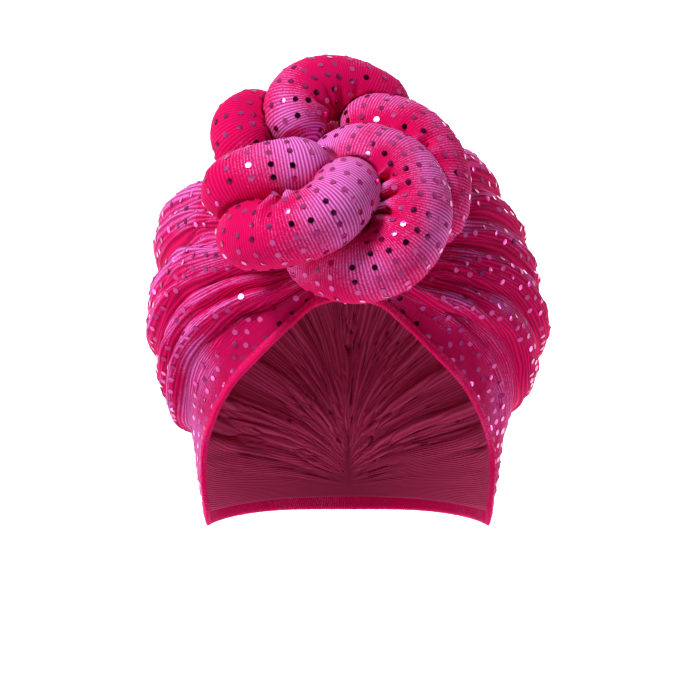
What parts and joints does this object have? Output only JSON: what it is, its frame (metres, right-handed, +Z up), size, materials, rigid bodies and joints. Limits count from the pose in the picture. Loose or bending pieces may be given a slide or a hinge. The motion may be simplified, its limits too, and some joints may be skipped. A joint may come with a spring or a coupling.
{
  "type": "turban headwrap",
  "caption": "Pull-on turban headwrap of stretch velvet with mirror dots: a gathered, pleated crown with a turned hem and a knot of stuffed coils above the brow",
  "frame": {"origin": "the middle of the head that the wrap is worn on, at the level where the head is widest: the middle of the oval it is sized by, on the plane of symmetry", "axes": "+Z up through the crown, -Y to the front, where the knot is, and +X to the right of a viewer who faces the knot"},
  "size_m": [0.1935, 0.2611, 0.2387],
  "materials": {
    "crown_velvet": "ribbed stretch velvet, hot pink with a violet nap, dotted with small round mirror foils",
    "hem_velvet": "the same velvet turned under and stitched down",
    "coil_velvet": "the same velvet drawn over stuffing, its ribs running round each coil"
  },
  "bodies": {
    "root": {"crown": "crown_velvet", "hem_band": "hem_velvet", "coil_front": "coil_velvet", "coil_left": "coil_velvet", "coil_ring": "coil_velvet", "coil_right": "coil_velvet", "coil_top": "coil_velvet", "coil_upper_left": "coil_velvet"}
  },
  "joints": []
}
